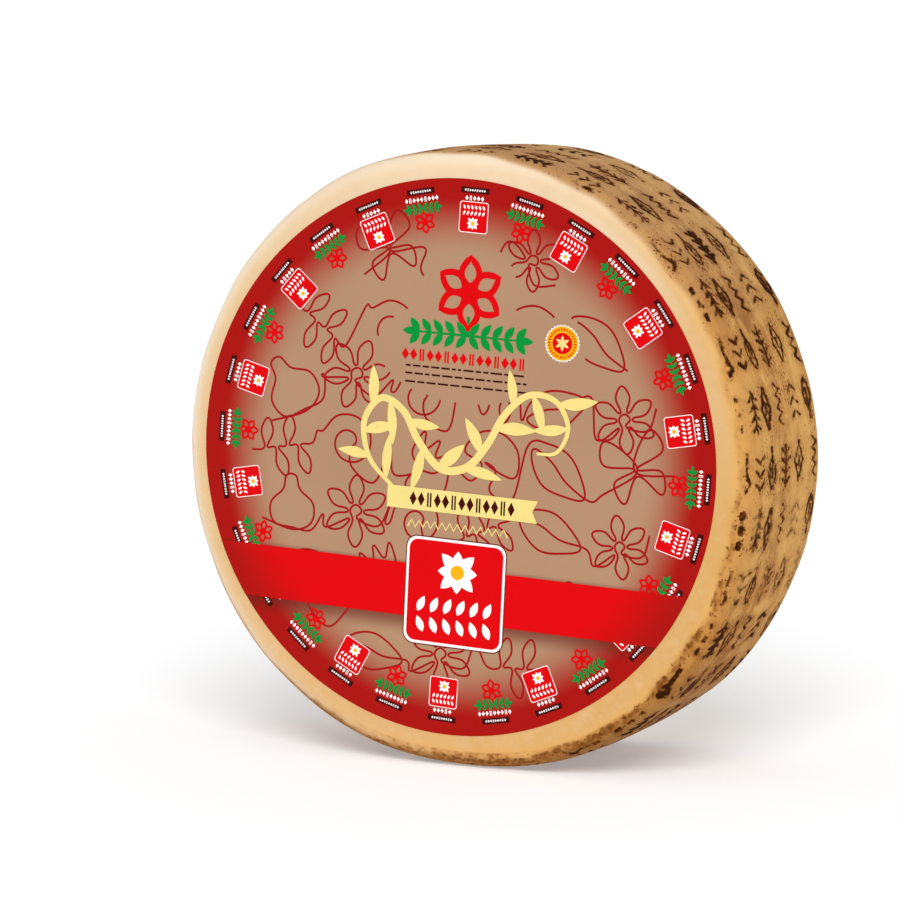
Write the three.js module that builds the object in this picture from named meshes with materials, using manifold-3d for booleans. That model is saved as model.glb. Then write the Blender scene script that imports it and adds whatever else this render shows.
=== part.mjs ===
// A whole wheel of aged cheese that stands upright on its rim, with a round paper label on its front face.
// Millimetres, +Z up. The wheel's axis runs along Y and the labelled face looks towards -Y. The origin lies on
// the ground, under the middle of the wheel.
import * as THREE from "three";
import { mergeVertices } from "three/addons/utils/BufferGeometryUtils.js";
import Module from "manifold-3d";

// The wheel.
const WHEEL_RADIUS = 175; // at the belly of the rim, before it sags out of round
const WHEEL_DEPTH = 115; // from face to face
const FACE_RADIUS = 163.5; // the flat of each face, out to where the shoulder starts
const SHOULDER_DEPTH = 14; // how far the shoulder runs along the rim
const SHOULDER_POWER = 2.2; // 2 is a true quarter ellipse, more is squarer
const RIM_BELLY = 2; // the rim is this much lower at its edges than in the middle

// How the rim is out of round. Angles are measured from +X towards +Z.
const SWELLINGS = [
  { waves: 2, height: 1.16, peak: THREE.MathUtils.degToRad(119.5) },
  { waves: 4, height: 0.37, peak: THREE.MathUtils.degToRad(32.3) },
];
const CROWN_WAVE = {
  waves: 7.2,
  height: 0.8,
  peak: THREE.MathUtils.degToRad(116),
  middle: THREE.MathUtils.degToRad(94),
  spread: THREE.MathUtils.degToRad(28),
};
const SETTLED = { depth: 2.43, spread: 0.202 }; // the wheel has sagged where it stands
const FOOT_FLAT = 1.1; // depth of the small flat pressed into the lowest part of the rim

// Shallow lumps left by turning and handling: each is a wave round the rim that leans as it crosses it.
const LUMPS = [
  { waves: 9, lean: 0.03, height: 0.18, start: 0.6 },
  { waves: 14, lean: -0.05, height: 0.14, start: 2.1 },
  { waves: 23, lean: 0.08, height: 0.1, start: 4.0 },
];

// The label.
const LABEL_RADIUS = 156;
const LABEL_THICKNESS = 0.3;
const LABEL_GAP = 0.3; // between the face and the back of the label
const LABEL_CENTRE = { x: -3.4, z: 2.6 }; // it was stuck on slightly off the wheel's centre

// How finely the curves are divided.
const TURN_STEPS = 120;
const SHOULDER_STEPS = 6;
const RIM_STEPS = 10;
const LABEL_STEPS = 96;

const HALF_DEPTH = WHEEL_DEPTH / 2;
const BOTTOM = -Math.PI / 2;
const TOP = Math.PI / 2;

const wasm = await Module();
wasm.setup();

/** The rim's radius where the wheel is perfectly round, at a distance along the axis from its middle. */
function rimRadius(along) {
  return WHEEL_RADIUS - RIM_BELLY * (along / HALF_DEPTH) ** 2;
}

/** One quarter of the rounded edge, from the flat of a face to the rim; side is -1 for the front face, 1 for the back. */
function shoulder(side) {
  const rimStart = HALF_DEPTH - SHOULDER_DEPTH;
  const reach = rimRadius(rimStart) - FACE_RADIUS;
  const points = [];
  for (let i = 0; i <= SHOULDER_STEPS; i++) {
    const turn = (TOP * i) / SHOULDER_STEPS;
    const out = FACE_RADIUS + reach * Math.sin(turn) ** (2 / SHOULDER_POWER);
    const along = rimStart + SHOULDER_DEPTH * Math.cos(turn) ** (2 / SHOULDER_POWER);
    points.push(new THREE.Vector2(out, side * along));
  }
  return points;
}

/** Half of the wheel's section: front face, front shoulder, bellied rim, back shoulder, back face. */
function section() {
  const rimStart = HALF_DEPTH - SHOULDER_DEPTH;
  const rim = [];
  for (let i = 1; i < RIM_STEPS; i++) {
    const along = rimStart * ((2 * i) / RIM_STEPS - 1);
    rim.push(new THREE.Vector2(rimRadius(along), along));
  }
  const frontCentre = new THREE.Vector2(0, -HALF_DEPTH);
  const backCentre = new THREE.Vector2(0, HALF_DEPTH);
  return [frontCentre, ...shoulder(-1), ...rim, ...shoulder(1).reverse(), backCentre];
}

/** The smallest angle between two directions. */
function angleBetween(a, b) {
  return Math.abs(Math.atan2(Math.sin(a - b), Math.cos(a - b)));
}

/** A bell curve that is 1 at no distance and fades out over the spread. */
function bell(distance, spread) {
  return Math.exp(-(distance ** 2) / (2 * spread ** 2));
}

/** How far the outline stands out of the true circle at an angle round the wheel. */
function outOfRound(angle) {
  let height = -SETTLED.depth * bell(angleBetween(angle, BOTTOM), SETTLED.spread);
  for (const swelling of SWELLINGS) {
    height += swelling.height * Math.cos(swelling.waves * (angle - swelling.peak));
  }
  const wave = Math.cos(CROWN_WAVE.waves * (angle - CROWN_WAVE.peak));
  return height + CROWN_WAVE.height * wave * bell(angleBetween(angle, CROWN_WAVE.middle), CROWN_WAVE.spread);
}

/** The shallow lumps of the rim, which die out towards the ground and on the flat faces. */
function lumps(angle, along, radius) {
  let height = 0;
  for (const lump of LUMPS) {
    height += lump.height * Math.sin(lump.waves * angle + lump.lean * along + lump.start);
  }
  const onRim = THREE.MathUtils.smoothstep(radius, FACE_RADIUS, WHEEL_RADIUS - RIM_BELLY);
  return height * onRim * (1 - bell(angleBetween(angle, BOTTOM), 2 * SETTLED.spread));
}

/** A manifold-3d solid of a closed geometry, with its shared corners merged and its collapsed triangles dropped. */
function solidOf(geometry) {
  geometry.deleteAttribute("normal");
  geometry.deleteAttribute("uv");
  const merged = mergeVertices(geometry, 1e-3);
  const corners = merged.index.array;
  const triangles = [];
  for (let i = 0; i < corners.length; i += 3) {
    const [a, b, c] = corners.slice(i, i + 3);
    if (a !== b && b !== c && c !== a) triangles.push(a, b, c);
  }
  const vertProperties = new Float32Array(merged.attributes.position.array);
  return new wasm.Manifold(new wasm.Mesh({ numProp: 3, vertProperties, triVerts: new Uint32Array(triangles) }));
}

/** The solid's surface as a geometry of plain triangles. */
function geometryOf(solid) {
  const { vertProperties, triVerts } = solid.getMesh();
  const geometry = new THREE.BufferGeometry();
  geometry.setAttribute("position", new THREE.BufferAttribute(new Float32Array(vertProperties), 3));
  geometry.setIndex(new THREE.BufferAttribute(new Uint32Array(triVerts), 1));
  geometry.computeVertexNormals();
  return geometry;
}

/** The wheel about its own centre: the turned section, pushed out of round, with a flat where it stands. */
function wheelGeometry() {
  const turned = new THREE.LatheGeometry(section(), TURN_STEPS);
  const position = turned.attributes.position;
  for (let i = 0; i < position.count; i++) {
    const [x, along, z] = [position.getX(i), position.getY(i), position.getZ(i)];
    const radius = Math.hypot(x, z);
    const angle = Math.atan2(z, x);
    const pushed = radius * (1 + outOfRound(angle) / WHEEL_RADIUS) + lumps(angle, along, radius);
    position.setXYZ(i, pushed * Math.cos(angle), along, pushed * Math.sin(angle));
  }
  const overground = new THREE.BoxGeometry(4 * WHEEL_RADIUS, 2 * WHEEL_DEPTH, 4 * WHEEL_RADIUS);
  overground.translate(0, 0, 2 * WHEEL_RADIUS - AXLE_HEIGHT);
  return geometryOf(solidOf(turned).intersect(solidOf(overground)));
}

/** The label lying flat against the front face, about the wheel's centre. */
function labelGeometry() {
  const disc = new THREE.CylinderGeometry(LABEL_RADIUS, LABEL_RADIUS, LABEL_THICKNESS, LABEL_STEPS);
  disc.translate(LABEL_CENTRE.x, -HALF_DEPTH - LABEL_GAP - LABEL_THICKNESS / 2, LABEL_CENTRE.z);
  return geometryOf(solidOf(disc));
}

/** A named sub-part with its material. */
function piece(name, geometry, colour, roughness) {
  const material = new THREE.MeshStandardMaterial({ color: colour, roughness, metalness: 0 });
  const mesh = new THREE.Mesh(geometry, material);
  mesh.name = name;
  return mesh;
}

// The height of the wheel's centre over the ground: its lowest radius less the flat.
const AXLE_HEIGHT = WHEEL_RADIUS + outOfRound(BOTTOM) - FOOT_FLAT;

const cheese = new THREE.Group();
cheese.add(piece("cheese_wheel", wheelGeometry(), "#dcb478", 0.55));
cheese.add(piece("label", labelGeometry(), "#a5221d", 0.5));
cheese.position.set(0, (LABEL_GAP + LABEL_THICKNESS) / 2, AXLE_HEIGHT); // centred along Y with the label counted

export default cheese;
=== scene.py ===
"""The looks of a whole wheel of aged cheese standing on its rim, with a printed label on its front."""

import math
import random

import bmesh
import bpy
import numpy as np
from mathutils import Matrix, Vector


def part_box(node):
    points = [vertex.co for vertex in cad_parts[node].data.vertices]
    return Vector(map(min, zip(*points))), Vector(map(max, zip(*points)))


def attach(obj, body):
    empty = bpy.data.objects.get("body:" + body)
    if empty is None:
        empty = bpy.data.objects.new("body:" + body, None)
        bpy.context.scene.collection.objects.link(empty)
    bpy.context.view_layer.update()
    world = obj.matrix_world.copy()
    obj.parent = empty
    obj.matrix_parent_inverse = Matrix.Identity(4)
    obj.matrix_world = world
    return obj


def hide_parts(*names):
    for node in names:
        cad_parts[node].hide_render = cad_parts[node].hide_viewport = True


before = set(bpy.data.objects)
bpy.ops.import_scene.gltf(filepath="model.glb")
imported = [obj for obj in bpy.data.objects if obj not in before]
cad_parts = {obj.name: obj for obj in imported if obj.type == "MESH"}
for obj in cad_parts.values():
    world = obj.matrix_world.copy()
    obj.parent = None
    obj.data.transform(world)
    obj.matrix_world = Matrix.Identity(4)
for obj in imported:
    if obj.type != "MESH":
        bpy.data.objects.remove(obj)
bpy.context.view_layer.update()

bl_info = {
    "name": "Aged cheese wheel",
    "version": (1, 0, 0),
    "blender": (4, 5, 0),
    "location": "View3D > Sidebar > Cheese",
    "description": "Builds the rind, the printed label and the studio of an aged cheese wheel",
    "category": "Object",
}

MM = 0.001

# The wheel, in millimetres, as its solid has it. Angles are measured from +X towards +Z.
WHEEL_LOW, WHEEL_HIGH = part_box("cheese_wheel")
WHEEL_RADIUS = 175.0
HALF_DEPTH = (WHEEL_HIGH.y - WHEEL_LOW.y) / 2 / MM
WHEEL_MIDDLE = (WHEEL_HIGH.y + WHEEL_LOW.y) / 2 / MM
FACE_RADIUS = 163.5
SHOULDER_DEPTH = 14.0
SHOULDER_POWER = 2.2
RIM_HALF = HALF_DEPTH - SHOULDER_DEPTH  # half the width of the rim between its rounded edges
RIM_BELLY = 2.0
SWELLINGS = ((2, 1.16, math.radians(119.5)), (4, 0.37, math.radians(32.3)))  # waves, height, peak
CROWN_WAVE = {"waves": 7.2, "height": 0.8, "peak": math.radians(116), "middle": math.radians(94)}
CROWN_SPREAD = math.radians(28)
SETTLED_DEPTH, SETTLED_SPREAD = 2.43, 0.202
FOOT_FLAT = 1.1
LUMPS = ((9, 0.03, 0.18, 0.6), (14, -0.05, 0.14, 2.1), (23, 0.08, 0.1, 4.0))  # waves, lean, height, start
BOTTOM = -math.pi / 2

# The label, and the print on it, in millimetres from the label's centre.
LABEL_LOW, LABEL_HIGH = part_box("label")
LABEL_RADIUS = (LABEL_HIGH.x - LABEL_LOW.x) / 2 / MM
LABEL_CENTRE = (LABEL_LOW + LABEL_HIGH) / 2
PAPER = 0.2  # thickness of the label
PRINT_TILT = math.radians(-2.9)  # the label was stuck on turned a little clockwise
PRINT_SHIFT = 5.0  # the design's upright axis lies this far right of the label's centre
BORDER_CENTRE = (2.8, 1.4)  # the label was cut out a little off the middle of its border


# ---------------------------------------------------------------- shader maths


def colour(red, green, blue):
    """A colour as seen on a screen, 0 to 255, as the linear values that Blender's sockets hold."""
    def linear(value):
        value /= 255
        return value / 12.92 if value <= 0.04045 else ((value + 0.055) / 1.055) ** 2.4
    return linear(red), linear(green), linear(blue)


class Wire:
    """A value in a material. Arithmetic on it adds Math nodes to the material."""

    def __init__(self, paint, socket):
        self.paint, self.socket = paint, socket

    def maths(self, operation, *values):
        """One Math node on these values."""
        return self.paint.node("ShaderNodeMath", {"operation": operation}, dict(enumerate(values)))

    def __add__(self, other):
        return self.maths("ADD", self, other)

    def __sub__(self, other):
        return self.maths("SUBTRACT", self, other)

    def __rsub__(self, other):
        return self.maths("SUBTRACT", other, self)

    def __mul__(self, other):
        return self.maths("MULTIPLY", self, other)

    def __truediv__(self, other):
        return self.maths("DIVIDE", self, other)

    def __pow__(self, other):
        return self.maths("POWER", self, other)

    __radd__, __rmul__ = __add__, __mul__

    def low(self, other):
        """The lower of two values."""
        return self.maths("MINIMUM", self, other)

    def high(self, other):
        """The higher of two values."""
        return self.maths("MAXIMUM", self, other)

    def rise(self, start, end):
        """0 up to start, 1 from end, and smooth between them; start may be the higher one."""
        flipped = start > end
        low, high = (end, start) if flipped else (start, end)
        step = self.paint.node(
            "ShaderNodeMapRange",
            {"interpolation_type": "SMOOTHSTEP"},
            {"Value": self, "From Min": low, "From Max": high, "To Min": 0.0, "To Max": 1.0},
        )
        return 1 - step if flipped else step


class Paint:
    """A material under construction, around one Principled shader."""

    def __init__(self, name):
        self.material = bpy.data.materials.new(name)
        self.material.use_nodes = True
        self.tree = self.material.node_tree
        self.shader = self.tree.nodes["Principled BSDF"]

    def set(self, node, key, value):
        """Gives a node's socket a value, or a link to another node's output."""
        socket = node.inputs[key]
        if isinstance(value, Wire):
            self.tree.links.new(value.socket, socket)
        elif socket.type == "RGBA":
            socket.default_value = (*value, 1.0)
        else:
            socket.default_value = value

    def node(self, kind, settings=None, values=None, output=0):
        """Adds a node: its settings first, then what its sockets hold. Returns one of its outputs."""
        node = self.tree.nodes.new(kind)
        for name, value in (settings or {}).items():
            setattr(node, name, value)
        for key, value in (values or {}).items():
            self.set(node, key, value)
        return Wire(self, node.outputs[output])

    def place(self, scale=(1, 1, 1), shift=(0, 0, 0), turn=(0, 0, 0)):
        """Object coordinates, in metres, scaled, turned and shifted."""
        here = self.node("ShaderNodeTexCoord", output="Object")
        values = {"Vector": here, "Scale": scale, "Location": shift, "Rotation": turn}
        return self.node("ShaderNodeMapping", {}, values)

    def part(self, place, axis):
        """One coordinate of a place: 0 for x, 1 for y and 2 for z."""
        return self.node("ShaderNodeSeparateXYZ", {}, {0: place}, output=axis)

    def noise(self, where, size, detail=2.0, roughness=0.5, distortion=0.0):
        """Soft noise from 0 to 1 whose blobs are about this many millimetres across."""
        values = {"Vector": where, "Scale": 1 / (size * MM), "Detail": detail}
        values |= {"Roughness": roughness, "Distortion": distortion}
        return self.node("ShaderNodeTexNoise", {}, values)

    def attribute(self, name):
        """A value that the piece's own mesh carries at each vertex."""
        return self.node("ShaderNodeAttribute", {"attribute_name": name}, output="Fac")

    def mix(self, under, over, share):
        """Two colours mixed by a share from 0 to 1."""
        return self.node("ShaderNodeMix", {"data_type": "RGBA"}, {0: share, 6: under, 7: over}, output=2)

    def coats(self, ground, *coats):
        """A colour under coats of other colours, each given with its share."""
        for shade, share in coats:
            ground = self.mix(ground, shade, share)
        return ground

    def bump(self, height, depth, strength):
        """A normal from a height of 0 to 1, for a relief this many millimetres deep."""
        values = {"Height": height, "Distance": depth * MM, "Strength": strength}
        return self.node("ShaderNodeBump", {}, values, output="Normal")

    def finish(self, **sockets):
        """Sets the shader's sockets, named here with _ for a space, and returns the material."""
        for name, value in sockets.items():
            self.set(self.shader, name.replace("_", " "), value)
        return self.material


# ---------------------------------------------------------------- pieces


def add_piece(name, mesh, material):
    """Puts a finished mesh in the scene as a piece of the object."""
    piece = bpy.data.objects.new(name, mesh)
    mesh.name = name
    mesh.materials.clear()
    mesh.materials.append(material)
    bpy.context.scene.collection.objects.link(piece)
    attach(piece, "root")
    return piece


def mesh_of(bm, soft=False):
    """The mesh of a bmesh, which is then freed, shaded soft or flat."""
    bmesh.ops.recalc_face_normals(bm, faces=bm.faces)
    mesh = bpy.data.meshes.new("mesh")
    bm.to_mesh(mesh)
    bm.free()
    if soft:
        mesh.shade_smooth()
    else:
        mesh.shade_flat()
    return mesh


def bell(distance, spread):
    """A bell curve, 1 at no distance."""
    return np.exp(-(distance**2) / (2 * spread**2))


def smooth(value, low, high):
    """0 up to low, 1 from high, smooth between them."""
    share = np.clip((value - low) / (high - low), 0, 1)
    return share * share * (3 - 2 * share)


def turned_by(a, b):
    """The smallest angle between two directions."""
    return np.abs(np.arctan2(np.sin(a - b), np.cos(a - b)))


def around(angle, stops):
    """A value that changes round the wheel between stops: degrees and values."""
    return np.interp(np.degrees(angle), list(stops), list(stops.values()), period=360)


# ---------------------------------------------------------------- the wheel's form


def rim_radius(along):
    """The radius of the bellied rim at a distance along the axis."""
    return WHEEL_RADIUS - RIM_BELLY * (along / HALF_DEPTH) ** 2


def out_of_round(angle):
    """How far the outline stands out of the true circle."""
    height = -SETTLED_DEPTH * bell(turned_by(angle, BOTTOM), SETTLED_SPREAD)
    for waves, swell, peak in SWELLINGS:
        height = height + swell * np.cos(waves * (angle - peak))
    wave = CROWN_WAVE["height"] * np.cos(CROWN_WAVE["waves"] * (angle - CROWN_WAVE["peak"]))
    return height + wave * bell(turned_by(angle, CROWN_WAVE["middle"]), CROWN_SPREAD)


def lumps(angle, along, radius):
    """The shallow lumps of the rim, none on the flat faces or where the wheel stands."""
    height = sum(rise * np.sin(waves * angle + lean * along + start) for waves, lean, rise, start in LUMPS)
    on_rim = smooth(radius, FACE_RADIUS, WHEEL_RADIUS - RIM_BELLY)
    return height * on_rim * (1 - bell(turned_by(angle, BOTTOM), 2 * SETTLED_SPREAD))


AXLE_HEIGHT = WHEEL_RADIUS + float(out_of_round(BOTTOM)) - FOOT_FLAT


def shoulder(side, steps):
    """The section's rounded edge, from a flat face to the rim; side is -1 for the front, 1 for the back."""
    reach = rim_radius(RIM_HALF) - FACE_RADIUS
    turns = np.linspace(0, math.pi / 2, 400)
    radii = FACE_RADIUS + reach * np.sin(turns) ** (2 / SHOULDER_POWER)
    depths = RIM_HALF + SHOULDER_DEPTH * np.cos(turns).clip(0) ** (2 / SHOULDER_POWER)
    lengths = np.append(0, np.cumsum(np.hypot(np.diff(radii), np.diff(depths))))
    even = np.linspace(0, lengths[-1], steps + 1)
    pairs = zip(np.interp(even, lengths, radii), np.interp(even, lengths, depths))
    return [(float(radius), side * float(depth)) for radius, depth in pairs]


FRONT_STEPS, BACK_STEPS = 19, 9  # divisions of the two rounded edges
SHOULDER_LINE = shoulder(1, 40)
SHOULDER_LENGTH = sum(math.dist(a, b) for a, b in zip(SHOULDER_LINE, SHOULDER_LINE[1:]))
SKIN_HALF = RIM_HALF + SHOULDER_LENGTH  # from the middle of the rim round to a flat face
# How far in from a flat face's edge the rim's browner skin begins: at the front by degrees, and at the back.
EDGE_DEPTHS = {
    -180: 9, -120: 6, -80: 6, -60: 3.4, -45: 2.5, -15: 2, 15: 3, 45: 4, 60: 5.5, 75: 8, 90: 11, 110: 16,
    150: 14,
}
BACK_EDGE = 5.0


def edge_line(angle, skin):
    """Where the browner skin of the rim begins, as a distance from the middle of the rim."""
    front = around(angle, EDGE_DEPTHS) + 0.7 * np.sin(13 * angle + 1) + 0.5 * np.sin(29 * angle + 2)
    return SKIN_HALF - np.where(skin < 0, front, BACK_EDGE)


# ---------------------------------------------------------------- stamped marks

# Each mark is drawn with strokes in a space about 5 wide and 21 high, centred on 0, 0, in millimetres.
# Pressed in, it is STAMP_RISE times as tall and about STAMP_STRETCH times as wide, upright strokes too.
STAMP_STRETCH, STAMP_RISE = 2.3, 1.1
FIRST_WIDTH, WIDTH_STEP = 0.82, 0.07  # shares of the stretch: a row's first mark, and each next one's gain
OUTSIDE = -4.0  # what points far from all marks are given as their depth inside one
STAMP_REACH = 13  # no mark reaches further along the rim from its middle
WEAK_ROWS, HEAVY_MARKS = 0.3, 0.14  # shares of the rows and of the marks
FAINT = {"by": 0.38, "middle": math.radians(-19), "spread": math.radians(20)}  # where the marks are fainter


def arc(centre, radius, start, end, stretch=1.0, steps=14):
    """Points on an arc in degrees; stretch makes it taller than wide."""
    turns = [math.radians(start + (end - start) * step / steps) for step in range(steps + 1)]
    return [(centre[0] + radius * math.cos(t), centre[1] + stretch * radius * math.sin(t)) for t in turns]


def ticks(*heights):
    """Pairs of short strokes that lean up to both sides of an upright stem."""
    return [[(side * 2.3, height - 3.2), (0, height)] for height in heights for side in (-1, 1)]


BUD = [[(0, -10), (0.2, -4), (0, 1)], [(0, 1), (1.5, 5.5), (0, 10), (-1.5, 5.5), (0, 1)]]
DOTS = [[(0, -9), (0, -6)], [(0, -1), (0, 2)], [(0, 6.5), (0, 9.5)]]
WHEAT = [[(0, -10.5), (0, 10.5)], *ticks(-6, -1, 4, 9)]
LOZENGE = [[(0, -10.5), (2.5, 0), (0, 10.5), (-2.5, 0), (0, -10.5)], [(0, -2.5), (0, 2.5)]]
CHEVRONS = [*ticks(-4), *ticks(2.5), *ticks(9)]
ZIGZAG = [[(-1.3 if point % 2 else 1.3, 3 * point - 10.5) for point in range(8)]]
LEAF = [arc((2.9, 2.5), 4.9, 126, 234, 2), arc((-2.9, 2.5), 4.9, 54, -54, 2), [(0.2, -10.5), (0, -3), (0, 5)]]
STAMPS = (DOTS, WHEAT, LOZENGE, ZIGZAG, CHEVRONS, LEAF)
OTHER_STAMPS = (BUD, CHEVRONS, LEAF, WHEAT, LOZENGE, ZIGZAG)


def stroke_distance(across, up, strokes):
    """How far points lie from the nearest stroke of a mark."""
    nearest = np.full(across.shape, 99.0)
    for stroke in strokes:
        for (x0, y0), (x1, y1) in zip(stroke, stroke[1:]):
            dx, dy = x1 - x0, y1 - y0
            share = np.clip(((across - x0) * dx + (up - y0) * dy) / (dx * dx + dy * dy), 0, 1)
            nearest = np.minimum(nearest, np.hypot(across - x0 - share * dx, up - y0 - share * dy))
    return nearest


def stamp_rind(angle, skin, settings):
    """How deep each point lies inside a stamped stroke, in millimetres, and how dark that mark is."""
    inside = np.full(angle.shape, OUTSIDE)
    tone = np.zeros(angle.shape)
    draw = random.Random(11)
    turn = 2 * math.pi / settings.rows
    for row in range(-(settings.rows // 2), settings.rows - settings.rows // 2):
        flip = -1 if row % 2 == 0 else 1
        row_height = np.sin(angle - settings.first_row - row * turn) * WHEEL_RADIUS
        near = np.cos(angle - settings.first_row - row * turn) > math.cos(turn)
        weak = draw.random() < WEAK_ROWS
        for column, strokes in enumerate(STAMPS if flip > 0 else OTHER_STAMPS):
            gaps = column * settings.mark_pitch + column * (column - 1) / 2 * settings.wider
            centre = (settings.first_mark + gaps) / MM + draw.uniform(-1.2, 1.2)
            stretch = STAMP_STRETCH * (FIRST_WIDTH + WIDTH_STEP * column)
            rise, lean = draw.uniform(-0.9, 0.9), math.radians(draw.uniform(-4, 4))
            weight = draw.uniform(0.75, 1.3) * settings.stroke / MM / 2
            dark = draw.uniform(0.4, 1.0) * (0.7 if weak else 1.0)
            if draw.random() < HEAVY_MARKS:
                weight, dark = weight * 1.5, 1.0
            close = near & (np.abs(skin - centre) < STAMP_REACH)
            x, y = (skin[close] - centre) * flip, (row_height[close] - rise) * flip
            across = (x * math.cos(lean) + y * math.sin(lean)) / stretch
            up = (y * math.cos(lean) - x * math.sin(lean) / stretch) / STAMP_RISE
            depth = weight - stroke_distance(across, up, strokes)
            better = depth > inside[close]
            inside[close] = np.where(better, depth, inside[close])
            tone[close] = np.where(better, dark, tone[close])
    edge = edge_line(angle, skin)
    worn = 3 * smooth(np.abs(skin), edge - 5, edge + 2)
    fainter = FAINT["by"] * bell(turned_by(angle, FAINT["middle"]), FAINT["spread"])
    return np.maximum(inside - worn, OUTSIDE), tone * (1 - fainter)


LOW_RIGHT, LOW_SPREAD = math.radians(-49), math.radians(32)  # where the front edge crumbles most


def crumbled(angle, skin):
    """How crumbled and brown the skin is: most along the front edge low on the right and round the foot."""
    edge = bell(np.abs(skin) - edge_line(angle, skin) + 0.5, 1.7)
    line = edge * np.where(skin < 0, 0.12 + 0.88 * bell(turned_by(angle, LOW_RIGHT), LOW_SPREAD), 0.35)
    foot = bell(turned_by(angle, BOTTOM), math.radians(20)) * 0.45 * (np.abs(skin) < SKIN_HALF)
    return np.clip(line + foot, 0, 1)


# How creamy the labelled face is, from 0 to 1, by degrees: partly a paler rind, partly a painted sheen of the
# light from above and the left.
PALE_AND_SHEEN_STOPS = {
    -180: 0.35, -120: 0.2, -60: 0.05, -15: 0, 0: 0.08, 15: 0.24, 30: 0.28, 45: 0.7, 60: 0.95, 105: 0.9,
    150: 0.45,
}


def paleness_and_sheen(angle, skin):
    """How creamy the skin is, partly a paler rind and partly a painted sheen: most high up on the labelled
    face.
    """
    return np.where(skin < 0, around(angle, PALE_AND_SHEEN_STOPS), 0.25)


# How strong the painted highlight along the front edge is, from 0 to 1, by degrees.
EDGE_HIGHLIGHT_STOPS = {0: 0, 60: 0.25, 90: 0.5, 120: 0.5, 150: 0.85, 180: 1, 210: 0.8, 250: 0.3, 280: 0}


def painted_edge_highlight(angle, skin):
    """A painted highlight along the front edge, where the light from the left catches it, most at the left.
    """
    return bell(SKIN_HALF + skin - 9, 4.5) * around(angle, EDGE_HIGHLIGHT_STOPS)


def edge_stain_and_shade(angle, skin):
    """How much darker the skin is where the rim begins, partly a brown stain and partly painted shade where
    the edge turns from the light: at the front on the right, at the back all along.
    """
    right = np.where(skin < 0, smooth(np.cos(angle - math.radians(20)), -0.1, 0.6), 0.6)
    return bell(np.abs(skin) - edge_line(angle, skin) + 8, 7.5) * right


def tanning_and_shade(angle, skin):
    """How golden-brown the edge of a face is before the rim begins, partly its tone and partly painted shade
    where the face turns from the light: on the right and round the foot.
    """
    edge = smooth(SKIN_HALF - np.abs(skin), -4, 1)
    return edge * smooth(np.cos(angle + math.radians(25)), -0.3, 0.6)


PITS, PITS_ON_EDGE = 760, 0.42  # their number, and the share of them along the crumbling edge
PIT_RANGE = 50  # how far from the middle of the rim the others lie


def pit_rind(angle, skin):
    """Small pits, thickest where the edge crumbles."""
    pits = np.zeros(angle.shape)
    draw = random.Random(5)
    for _ in range(PITS):
        if draw.random() < PITS_ON_EDGE:
            where = math.radians(draw.gauss(-50, 28))
            line = draw.gauss(0.8, 1.5) - float(edge_line(where, -1))
        else:
            where = draw.uniform(-math.pi, math.pi)
            line = draw.uniform(-PIT_RANGE, PIT_RANGE)
        size, long = draw.uniform(0.7, 1.3), draw.uniform(0.9, 1.9)
        row = np.sin(angle - where) * WHEEL_RADIUS
        close = (np.abs(row) < 6) & (np.abs(skin - line) < 4) & (np.cos(angle - where) > 0)
        fall = (row[close] / (size * long)) ** 2 + ((skin[close] - line) / size) ** 2
        pits[close] = np.maximum(pits[close], draw.uniform(0.4, 1.0) * np.exp(-fall))
    return pits


# ---------------------------------------------------------------- the rind


# What the rind's mesh carries at each vertex for its material.
SKIN_FIELDS = ("rim", "stamp", "tone", "pit", "crumb", "pale_and_sheen", "tan_and_shade", "middle", "edge_highlight", "brown")


def rind_section(settings):
    """The fine section of the wheel: radii and distances along the axis, from front to back."""
    steps = settings.rim_steps
    rim = [(rim_radius(a), a) for a in (RIM_HALF * (2 * i / steps - 1) for i in range(1, steps))]
    front = [(radius, -HALF_DEPTH) for radius in (0, 100, 150, 156, 160)]
    back = [(radius, HALF_DEPTH) for radius in (160, 150, 130, 100, 50, 0)]
    return front + shoulder(-1, FRONT_STEPS) + rim + shoulder(1, BACK_STEPS)[::-1] + back


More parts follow.
